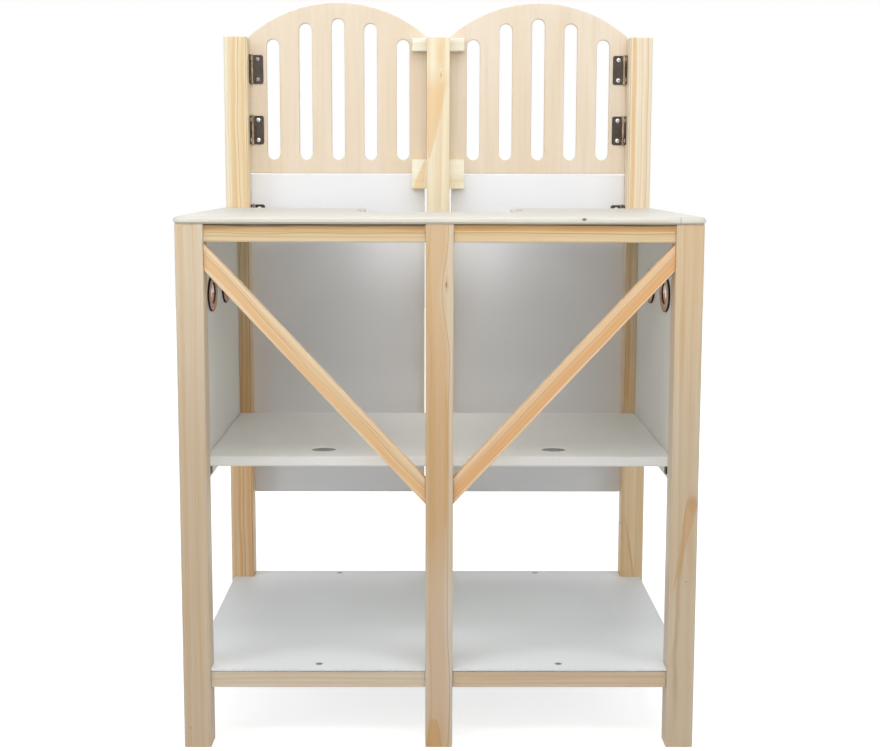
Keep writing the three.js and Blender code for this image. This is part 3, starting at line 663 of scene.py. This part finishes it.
def leaf_outline(first):
    """The leaf's plate: notched round the other leaf's knuckles and rounded at its two outer corners."""
    points = []
    for number in reversed(range(KNUCKLES)):
        own = number % 2 == first
        inset = 0.0 if own else KNUCKLE_GAP
        low = number * KNUCKLE_PITCH - LEAF_HALF_HEIGHT - (inset if number else 0.0)
        high = low + KNUCKLE_PITCH + (2 * inset if 0 < number < KNUCKLES - 1 else inset)
        reach = KNUCKLE_ROOT if own else BARREL_RADIUS + KNUCKLE_GAP
        points += [(reach, min(high, LEAF_HALF_HEIGHT)), (reach, low)]
    corner_x, corner_z = LEAF_REACH - LEAF_CORNER, LEAF_HALF_HEIGHT - LEAF_CORNER
    for step in range(CORNER_STEPS + 1):
        angle = math.radians(-90 + 180 * step / CORNER_STEPS)
        sign = -1 if step <= CORNER_STEPS / 2 else 1
        x = corner_x + LEAF_CORNER * math.cos(angle)
        points.append((x, sign * corner_z + LEAF_CORNER * math.sin(angle)))
    return points


def leaf_builder(matrix, first):
    """A leaf with every second knuckle from first on."""
    def build(shape):
        back = matrix @ Matrix.Translation((0, LEAF_BACK, 0))
        slab_of(shape, leaf_outline(first), LEAF_FACE - LEAF_BACK, LEAF_EASE, back)
        for number in range(first, KNUCKLES, 2):
            low = number * KNUCKLE_PITCH - LEAF_HALF_HEIGHT + KNUCKLE_GAP / 2
            high = low + KNUCKLE_PITCH - KNUCKLE_GAP
            knuckle = (
                (BARREL_RADIUS - KNUCKLE_EASE, low),
                (BARREL_RADIUS, low + KNUCKLE_EASE),
                (BARREL_RADIUS, high - KNUCKLE_EASE),
                (BARREL_RADIUS - KNUCKLE_EASE, high),
            )
            revolved(shape, knuckle, ROUND_SIDES, matrix)
    return build


# The pin's domed head, from its tip to the barrel's end: radius, and height past the barrel
PIN_HEAD = ((0.4 * MM, 1.2 * MM), (1.5 * MM, 0.9 * MM), (2.1 * MM, 0.3 * MM), (1.2 * MM, 0.0))
PIN_SIDES = 16


def pin_builder(matrix):
    """The pin, with a domed head at each end."""
    def build(shape):
        upper = [(radius, LEAF_HALF_HEIGHT + past) for radius, past in PIN_HEAD]
        lower = [(radius, -height) for radius, height in upper]
        revolved(shape, lower + list(reversed(upper)), PIN_SIDES, matrix)
    return build


def screws_builder(matrix, facing):
    """A leaf's two screws."""
    def build(shape):
        for spread in (-SCREW_SPREAD, SCREW_SPREAD):
            place = matrix @ Vector((SCREW_REACH, LEAF_FACE, spread))
            screw_head(shape, place, facing, LEAF_SCREW_RADIUS, LEAF_SCREW_HEIGHT)
    return build


def add_hinge(stem, side, door_body):
    """One hinge: two leaves, a pin and four screws. Each leaf's x and y point where its side needs them."""
    sign = SIDES[side]
    height = middle(f"{stem}_pin")[2]
    centre = Matrix.Translation((sign * HINGE_X, HINGE_Y, height))
    door = centre @ Matrix(((-sign, 0, 0, 0), (0, -1, 0, 0), (0, 0, 1, 0), (0, 0, 0, 1)))
    post = centre @ Matrix(((0, -sign, 0, 0), (-1, 0, 0, 0), (0, 0, 1, 0), (0, 0, 0, 1)))
    leaves = (
        ("door_leaf", door, 1, door_body, (0, -1, 0)),
        ("frame_leaf", post, 0, "frame", (-sign, 0, 0)),
    )
    for part, matrix, first, body, facing in leaves:
        node = f"{stem}_{part}"
        leaf = new_piece(f"{node}_plate", leaf_builder(matrix, first), BRONZE, body, (node,))
        smooth_faces(leaf, 25.0)
        metal = STEEL if stem == GREY_SCREWED else ZINC
        screws = new_piece(f"{node}_screws", screws_builder(matrix, facing), metal, body)
        smooth_faces(screws, 40.0)
    node = f"{stem}_pin"
    pin = new_piece(f"{node}_shown", pin_builder(centre), BRONZE, "frame", (node,))
    smooth_faces(pin, 40.0)


def add_hinges():
    for side in SIDES:
        for row in ("upper", "lower"):
            for end in ("top", "bottom"):
                add_hinge(f"{row}_door_{end}_hinge_{side}", side, f"{row}_{side}_door")


# Rings in the side panels: an oval plate on the panel's inner face, and a collar through its window
RING_STEPS = 48
RING_PLATE = 3 * MM
RING_SOFT = 0.5 * MM
RING_RIM = (46 * MM, 28 * MM)
RING_HOLE = (24 * MM, 15.5 * MM)
RING_COLLAR = (26.5 * MM, 18 * MM)
RING_SCORCH = (2.2 * MM, 2.4 * MM)
# The shader's "burn": 1 on a charred cut, 0 on the bare face, below 0 where a collar's wall is painted white
# above its middle, a painted light for the light through the hole
CHARRED = 1.0
PAINTED_LIGHT = -1.0
SINGED = 0.3


def ring_builder(node, side):
    """A ring's section goes round an oval about the CAD ring's middle."""
    sign = SIDES[side]
    _, centre_y, centre_z = middle(node)
    inner, through = sorted((corner.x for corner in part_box(node)), key=abs)
    outer = inner + sign * RING_PLATE
    soft = sign * RING_SOFT

    def build(shape):
        burn = shape.verts.layers.float.new("burn")

        def loop(size, x, amount, grow=0.0):
            points = []
            for step in range(RING_STEPS):
                angle = 2 * math.pi * step / RING_STEPS
                y = centre_y + (size[0] + grow) * math.cos(angle)
                z = centre_z + (size[1] + grow) * math.sin(angle)
                vertex = shape.verts.new((x, y, z))
                # The collar's wall is white above the middle, painted light for the light through the hole,
                # and tan below
                vertex[burn] = SINGED if amount == PAINTED_LIGHT and z < centre_z else amount
                points.append(vertex)
            return points

        # Round the section: back of the plate, its rim, its face, the hole's wall and the collar's end
        loops = [
            loop(RING_COLLAR, outer, 0.9),
            loop(RING_RIM, outer, CHARRED),
            loop(RING_RIM, inner + soft, CHARRED),
            loop(RING_RIM, inner, 0.75, -RING_SOFT),
            loop(RING_RIM, inner, 0.15, -RING_SCORCH[0]),
            loop(RING_HOLE, inner, 0.1, RING_SCORCH[1]),
            loop(RING_HOLE, inner, 0.75, RING_SOFT),
            loop(RING_HOLE, inner + soft, CHARRED),
            loop(RING_HOLE, outer - soft, 0.9),
            loop(RING_HOLE, outer, PAINTED_LIGHT),
            loop(RING_HOLE, through, PAINTED_LIGHT),
            loop(RING_COLLAR, through, PAINTED_LIGHT),
        ]
        for first, second in zip(loops, loops[1:] + loops[:1]):
            for step in range(RING_STEPS):
                after = (step + 1) % RING_STEPS
                shape.faces.new((first[step], first[after], second[after], second[step]))
    return build


def add_rings():
    for side in SIDES:
        for row in ("front", "back"):
            node = f"{row}_tack_ring_{side}"
            build = ring_builder(node, side)
            ring = new_piece(f"{node}_shown", build, SCORCHED, "frame", (node,))
            smooth_faces(ring, 35.0)


# The board's screws
BOARD_SCREWS = [node for node in NODES if node.startswith("board_screw")]
BOARD_SCREW_RADIUS = 4.2 * MM
BOARD_SCREW_HEIGHT = 0.5 * MM
BOARD_SCREW_SINK = 0.1 * MM
BOARD_SCREW_SEAT = 2 * MM
SHANK_RADIUS = 1.8 * MM
SHANK_LENGTH = 15 * MM


def board_screw_builder(place):
    """A countersunk screw that stands upright, with the rim of its head at place."""
    def build(shape):
        screw_head(shape, place, (0, 0, 1), BOARD_SCREW_RADIUS, BOARD_SCREW_HEIGHT)
        shank = (
            (SHANK_RADIUS, -SHANK_LENGTH),
            (SHANK_RADIUS, -BOARD_SCREW_SEAT),
            (BOARD_SCREW_RADIUS, -HEAD_DEPTH),
        )
        revolved(shape, shank, ROUND_SIDES, Matrix.Translation(place))
    return build


def add_board_screws():
    for node in BOARD_SCREWS:
        centre, top = middle(node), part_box(node)[1].z
        build = board_screw_builder(Vector((centre.x, centre.y, top - BOARD_SCREW_SINK)))
        screw = new_piece(f"{node}_shown", build, STEEL, "frame", (node,))
        smooth_faces(screw, 35.0)


# How deep a mark reaches into the wood, a size that leaves it endless, how far a seam lies off its piece, and
# how wide the painted shade at a rail's ends is
MARK_DEPTH = 0.02
ENDLESS = 5.0
SEAM_OFF = 0.3 * MM
END_SHADE_WIDTH = 1.2 * MM


def mark(face, x, z, width, height, kind):
    """A mark on an upright face that looks to the front, as pine() takes it."""
    return (x, face, z), (width, MARK_DEPTH, height), kind


def post_joint_shade(node, size):
    """The thin dark line between a front post and the table: a dark joint, and painted shade under the table's
    edge.
    """
    return mark(FRONT_FACE, middle(node).x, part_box(node)[1].z + SEAM_OFF, ENDLESS, size, "joint_shade")


def rail_shade_marks(node, size):
    """Painted shade along a front rail's top, under the board that lies on it, and at its two ends by the
    posts.
    """
    low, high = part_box(node)
    centre = middle(node)
    return (
        mark(low.y, centre.x, high.z + SEAM_OFF, ENDLESS, size, "painted_shade"),
        mark(low.y, low.x - SEAM_OFF, centre.z, END_SHADE_WIDTH, ENDLESS, "painted_shade"),
        mark(low.y, high.x + SEAM_OFF, centre.z, END_SHADE_WIDTH, ENDLESS, "painted_shade"),
    )


# Frame: every pine piece is its own board, so each has its own figure
# How tall the painted shade is on the top rails, under the table, and on the bottom rails, under the bottom
# board
TOP_RAIL_SHADE = 7.6 * MM
BOTTOM_RAIL_SHADE = 1.6 * MM
# Each piece's tone and shade_tone_below are painted light and shade as well as tint
PINE_PIECES = {
    "front_left_post": dict(
        pith=(150, 60), ring=2.2, warmth=0.4, seed=1.3,
        tone=(0.85, 0.86, 0.90), shade_tone_below=(0.745, 0.72, 0.73),
        marks=(
            mark(FRONT_FACE, -0.3655, 0.03, 0.0012, 0.0018, "dot"),
            post_joint_shade("front_left_post", 0.0016),
        ),
        bands=(
            (-0.011, 0.0035, 0.25, PINE_WARM, 0.001),
            (0.0065, 0.0012, 0.25, PINE_WARM, 0.002),
            (0.0135, 0.003, 0.3, PINE_EARLY, 0.001),
        ),
    ),
    "front_centre_post": dict(
        pith=(-34, -90), ring=7.5, warmth=0.35, seed=4.1,
        tone=(0.855, 0.87, 0.94), shade_tone_below=(0.795, 0.785, 0.80),
        marks=(
            mark(FRONT_FACE, -0.002, 0.16, 0.05, 0.16, "blond"),
            mark(FRONT_FACE, 0.0095, 0.684, 0.0018, 0.007, "knot"),
            post_joint_shade("front_centre_post", 0.0018),
            mark(FRONT_FACE, -0.004, 0.46, 0.013, 0.24, "faint"),
            mark(FRONT_FACE, 0.0095, 0.44, 0.0035, 0.13, "streak"),
        ),
        tongues=[((-0.007, 0.044), (-0.007, -0.01), 0.0125, 0.35, 0.8, 0.35)],
        bands=(
            (-0.004, 0.0175, 0.42, PINE_WARM, 0.006),
            (0.0132, 0.0008, 0.5, PINE_DEEP, 0.006),
            (-0.0125, 0.0008, 0.25, PINE_DEEP, 0.004),
        ),
        bow=(0.668, 0.085, -0.0085),
    ),
    "front_right_post": dict(
        pith=(110, -160), ring=9.0, warmth=0.08, seed=7.7,
        tone=(0.825, 0.745, 0.665), shade_tone_below=(0.76, 0.755, 0.785),
        marks=(
            mark(FRONT_FACE, 0.355, 0.12, 0.05, 0.15, "pale"),
            mark(FRONT_FACE, 0.3665, 0.366, 0.008, 0.014, "brown"),
            post_joint_shade("front_right_post", 0.0016),
            mark(FRONT_FACE, 0.3465, 0.60, 0.004, 0.09, "faint"),
            mark(FRONT_FACE, 0.3599, 0.2513, 0.0010, 0.0015, "dot"),
        ),
        tongues=(
            ((0.366, 0.383), (0.3745, 0.07), 0.031, 0.45, 0.1, 0.4),
            ((0.3405, 0.232), (0.3665, 0.368), 0.0085, 0.9, 0.6, 0.2),
        ),
        bands=(
            (-0.008, 0.0012, 0.16, PINE_WARM, 0.002),
            (0.009, 0.005, 0.12, PINE_WARM, 0.002),
        ),
    ),
    "back_left_post": dict(
        pith=(30, -70), ring=8.5, warmth=0.7, seed=2.9,
        tone=(1.03, 1.12, 1.2), shade_tone_below=(1.0, 0.89, 0.78),
        bands=(
            (-0.0145, 0.0058, 0.6, PINE_EARLY, 0.001),
            (-0.0125, 0.001, 0.55, PINE_WARM, 0.003),
            (-0.003, 0.0028, 0.75, PINE_WARM, 0.006),
            (0.0035, 0.0007, 0.7, PINE_DEEP, 0.006),
            (0.0125, 0.0035, 0.6, PINE_WARM, 0.004),
            (0.0178, 0.0011, 0.6, PINE_DEEP, 0.001),
        ),
    ),
    "back_centre_post": dict(
        pith=(-60, -140), ring=11.0, warmth=0.2, seed=5.2,
        tone=(1.06, 1.12, 1.16), shade_tone_below=(1.0, 0.95, 0.85),
        marks=(
            mark(BACK_FACE, 0.0046, 1.0085, 0.0012, 0.006, "knot"),
            mark(BACK_FACE, 0.003, 1.045, 0.006, 0.03, "faint"),
        ),
        tongues=[((-0.016, 0.862), (-0.003, 0.995), 0.021, 0.85, 0.6, 0.12)],
    ),
    "back_right_post": dict(
        pith=(44, -60), ring=9.5, warmth=0.6, seed=9.4,
        tone=(1.02, 1.07, 1.15), shade_tone_below=(1.05, 0.97, 0.86),
        tongues=[((0.334, 0.236), (0.336, 0.118), 0.019, 0.8, 0.15, 0.5)],
        bands=(
            (-0.0178, 0.0012, 0.55, PINE_DEEP, 0.001),
            (-0.011, 0.0035, 0.65, PINE_WARM, 0.004),
            (0.002, 0.0012, 0.45, PINE_WARM, 0.005),
            (0.012, 0.0009, 0.4, PINE_DEEP, 0.004),
        ),
        bands_from=(0.40, 0.46),
    ),
    "front_top_rail_left": dict(
        grain="x", pith=(-60, -30), ring=6.5, warmth=0.6, seed=3.6, tone=(0.90, 0.90, 0.85),
        marks=rail_shade_marks("front_top_rail_left", TOP_RAIL_SHADE),
        bands=(
            (0.0065, 0.0045, 0.6, PINE_WARM, 0.004),
            (0.0005, 0.0008, 0.5, PINE_DEEP, 0.005),
            (-0.0085, 0.003, 0.4, PINE_EARLY, 0.002),
        ),
    ),
    "front_top_rail_right": dict(
        grain="x", pith=(70, -24), ring=6.0, warmth=0.6, seed=6.3, tone=(0.89, 0.84, 0.72),
        marks=rail_shade_marks("front_top_rail_right", TOP_RAIL_SHADE),
        bands=(
            (0.0065, 0.005, 0.75, PINE_WARM, 0.003),
            (-0.0005, 0.0009, 0.55, PINE_DEEP, 0.004),
            (-0.0045, 0.0008, 0.4, PINE_WARM, 0.003),
        ),
    ),
    "front_bottom_rail_left": dict(
        grain="x", pith=(-50, 22), ring=6.0, warmth=0.3, seed=8.8, tone=(0.88, 0.96, 1.17),
        marks=rail_shade_marks("front_bottom_rail_left", BOTTOM_RAIL_SHADE),
        bands=[(-0.005, 0.0009, 0.4, PINE_WARM, 0.003)],
    ),
    "front_bottom_rail_right": dict(
        grain="x", pith=(36, -35), ring=7.5, warmth=0.4, seed=1.9, tone=(0.82, 0.81, 0.88),
        marks=rail_shade_marks("front_bottom_rail_right", BOTTOM_RAIL_SHADE),
        bands=(
            (0.0045, 0.002, 0.4, PINE_WARM, 0.004),
            (-0.006, 0.0008, 0.4, PINE_DEEP, 0.003),
        ),
    ),
    "back_bottom_rail_left": dict(grain="x", pith=(28, 30), ring=5.5, warmth=0.6, seed=4.7),
    "back_bottom_rail_right": dict(grain="x", pith=(-26, 34), ring=6.0, warmth=0.6, seed=5.9),
    "back_shelf_rail": dict(grain="x", pith=(26, 30), ring=5.0, warmth=0.5, seed=7.1),
    "top_door_stop": dict(grain="x", pith=(-60, 75), ring=8.5, warmth=0.05, seed=2.2, tone=(1.06, 1.28, 1.6)),
    "middle_door_stop": dict(
        grain="x", pith=(34, -90), ring=9.0, warmth=0.1, seed=3.1, tone=(1.16, 1.33, 1.55),
        tongues=[((-0.022, 0.864), (-0.036, 0.812), 0.009, 0.6, 0.6, 0.15)],
    ),
}
# A brace leans by its drop over its run. Its ends are mitred, so only its long edges are worn
BRACE_DROP = 0.338
BRACE_RUN = 0.315
BRACE_LEAN = math.pi / 2 - math.atan2(BRACE_DROP, BRACE_RUN)
BRACE_HALF = (0.013, 0.009, 1.0)
BRACES = {
    "left": dict(
        pith=(30, -36), ring=6.0, warmth=0.6, seed=6.6, tone=(1.0, 0.94, 0.88),
        bands=(
            (-0.0045, 0.0055, 0.6, PINE_WARM, 0.009),
            (0.0022, 0.0008, 0.65, PINE_DEEP, 0.009),
            (0.0055, 0.0006, 0.4, PINE_DEEP, 0.012),
            (0.0102, 0.002, 0.6, PINE_EARLY, 0.001),
        ),
    ),
    "right": dict(
        pith=(-38, -30), ring=5.0, warmth=0.6, seed=8.2, tone=(0.99, 0.86, 0.76),
        bands=(
            (0.004, 0.0065, 0.65, PINE_WARM, 0.004),
            (-0.003, 0.0007, 0.45, PINE_DEEP, 0.005),
            (0.009, 0.0006, 0.45, PINE_DEEP, 0.004),
            (-0.0102, 0.002, 0.6, PINE_EARLY, 0.001),
        ),
    ),
}


def dress_frame():
    for node, look in PINE_PIECES.items():
        dress(node, pine(f"pine_{node}", middle(node), half(node), **look))
    for side, look in BRACES.items():
        node = f"brace_{side}"
        turn = (0.0, -SIDES[side] * BRACE_LEAN, 0.0)
        dress(node, pine(f"pine_{node}", middle(node), BRACE_HALF, turn=turn, **look))


def lacquer(node, name, tint, roughness, seed, **spots):
    """Gives a CAD node white lacquer of its own."""
    dress(node, white_board(name, tint, roughness, seed, middle(node), half(node), **spots))


def dress_boards():
    dress("table_top", washed_pine())
    lacquer("shelf", "shelf_lacquer", linear(250, 251, 248), 0.42, 1.1, holes=STICK_HOLES)
    screws = [middle(node).xy for node in BOARD_SCREWS]
    lacquer("bottom_board", "board_lacquer", linear(246, 250, 252), 0.42, 2.3, screws=screws)
    for side, sign in SIDES.items():
        lacquer(f"side_panel_{side}", f"panel_lacquer_{side}", linear(248, 249, 246), 0.5, 3.7 + sign)
        lacquer(f"lower_door_{side}", f"door_lacquer_{side}", linear(248, 249, 252), 0.5, 5.9 + sign)
        dress(f"upper_door_{side}", birch_ply(f"birch_ply_{side}", 1.7 + 0.6 * sign))


def dress_metal():
    """Gives the hinges' CAD nodes, the brackets, the screws and the rings their materials."""
    for node in NODES:
        if "_leaf" in node or "_pin" in node or "bracket" in node:
            dress(node, BRONZE)
        if node in BOARD_SCREWS:
            dress(node, STEEL)
        if "tack_ring" in node:
            dress(node, SCORCHED)


# The stage: a pale floor that keeps the shadow, and plain soft light
FLOOR_REACH = 7.0
FLOOR_COLOUR = linear(238, 238, 238)
# The floor's glow grows between two distances from the stable's middle
GLOW_NEAR = 0.66
GLOW_FROM, GLOW_TO = 0.7, 2.4
WORLD_COLOUR = linear(252, 253, 255)
WORLD_STRENGTH = 0.21


def seen_by_eye(tree):
    """1 where a ray shows the backdrop itself: straight to the camera, in a reflection or through glass."""
    path = tree.nodes.new("ShaderNodeLightPath")
    first = tree.nodes.new("ShaderNodeMath")
    first.operation = "MAXIMUM"
    tree.links.new(path.outputs["Is Camera Ray"], first.inputs[0])
    tree.links.new(path.outputs["Is Glossy Ray"], first.inputs[1])
    second = tree.nodes.new("ShaderNodeMath")
    second.operation = "MAXIMUM"
    tree.links.new(first.outputs[0], second.inputs[0])
    tree.links.new(path.outputs["Is Transmission Ray"], second.inputs[1])
    return second.outputs[0]


def add_floor():
    """The floor looks white, more so away from the stable, and still takes the stable's shadow."""
    mesh = bpy.data.meshes.new("floor")
    corners = [(x * FLOOR_REACH, y * FLOOR_REACH, 0) for x, y in ((-1, -1), (1, -1), (1, 1), (-1, 1))]
    mesh.from_pydata(corners, [], [(0, 1, 2, 3)])
    floor = bpy.data.objects.new("floor", mesh)
    bpy.context.scene.collection.objects.link(floor)
    s = Shader("floor")
    mottle = s.noise(s.place(), 6.0, 2.0)
    colour = s.mix(s.fade(mottle, 0.3, 0.7), FLOOR_COLOUR, tuple(part * 0.99 for part in FLOOR_COLOUR))
    s.finish(colour, 0.9, specular=0.1)
    away = s.fade(s.vector("LENGTH", s.place()), GLOW_FROM, GLOW_TO, GLOW_NEAR, 1.0)
    glow = s.nodes.new("ShaderNodeEmission")
    s.link(s.math("MULTIPLY", seen_by_eye(s.tree), away), glow.inputs["Strength"])
    both = s.nodes.new("ShaderNodeAddShader")
    s.link(s.surface.outputs[0], both.inputs[0])
    s.link(glow.outputs[0], both.inputs[1])
    s.link(both.outputs[0], s.nodes["Material Output"].inputs["Surface"])
    mesh.materials.append(s.material)


def add_world():
    """White to the eye, and a weak pale light on everything else."""
    world = bpy.data.worlds.new("studio")
    bpy.context.scene.world = world
    world.use_nodes = True
    tree = world.node_tree
    tree.nodes.clear()
    output = tree.nodes.new("ShaderNodeOutputWorld")
    white = tree.nodes.new("ShaderNodeBackground")
    white.inputs["Color"].default_value = (1, 1, 1, 1)
    light = tree.nodes.new("ShaderNodeBackground")
    light.inputs["Color"].default_value = (*WORLD_COLOUR, 1.0)
    light.inputs["Strength"].default_value = WORLD_STRENGTH
    mix = tree.nodes.new("ShaderNodeMixShader")
    tree.links.new(seen_by_eye(tree), mix.inputs["Fac"])
    tree.links.new(light.outputs[0], mix.inputs[1])
    tree.links.new(white.outputs[0], mix.inputs[2])
    tree.links.new(mix.outputs[0], output.inputs["Surface"])


LAMPS = {
    # name: place, aim, width, height, watts
    "top_softbox": ((0.0, -0.3, 3.0), (0.0, -0.1, 0.5), 2.4, 2.4, 23.0),
    "left_softbox": ((-2.2, -2.0, 2.3), (0.0, 0.0, 0.6), 1.6, 1.6, 15.0),
    "right_softbox": ((2.2, -2.0, 2.3), (0.0, 0.0, 0.6), 1.6, 1.6, 15.0),
    "back_softbox": ((0.0, 1.9, 2.6), (0.0, 0.0, 0.8), 2.2, 1.6, 17.0),
    "near_left_softbox": ((-1.1, -1.2, 2.1), (0.0, 0.28, 0.9), 0.9, 0.7, 2.2),
    "near_right_softbox": ((1.1, -1.2, 2.1), (0.0, 0.28, 0.9), 0.9, 0.7, 0.8),
    "door_softbox": ((0.0, -0.75, 1.95), (0.0, 0.28, 0.95), 0.9, 0.5, 3.8),
    "brow_softbox": ((0.0, -1.35, 1.35), (0.0, 0.28, 1.0), 1.6, 0.3, 5.9),
    "eye_softbox": ((0.0, -1.9, 1.15), (0.0, 0.0, 0.6), 1.5, 0.4, 0.9),
    "low_left_softbox": ((-1.7, -1.3, 0.8), (0.33, 0.0, 0.5), 0.7, 0.5, 2.4),
    "low_right_softbox": ((1.7, -1.3, 0.8), (-0.33, 0.0, 0.5), 0.7, 0.5, 0.8),
}


def add_lamps():
    for name, (place, aim, width, height, watts) in LAMPS.items():
        data = bpy.data.lights.new(name, "AREA")
        data.shape = "RECTANGLE"
        data.size = width
        data.size_y = height
        data.energy = watts
        lamp = bpy.data.objects.new(name, data)
        lamp.location = place
        lamp.rotation_euler = (Vector(aim) - Vector(place)).to_track_quat("-Z", "Y").to_euler()
        bpy.context.scene.collection.objects.link(lamp)


BRONZE = bronze("bronze_plating", 2.0)
ZINC = screw_metal("zinc_screws", linear(244, 244, 242), linear(222, 222, 221))
STEEL = screw_metal("steel_screws", linear(158, 160, 160), linear(128, 131, 131))
SCORCHED = scorched_ply("scorched_ply", 1.0)

add_camera()
dress_frame()
dress_boards()
dress_metal()
add_hinges()
add_rings()
add_board_screws()
add_floor()
add_world()
add_lamps()
bpy.context.scene.view_settings.view_transform = "Standard"
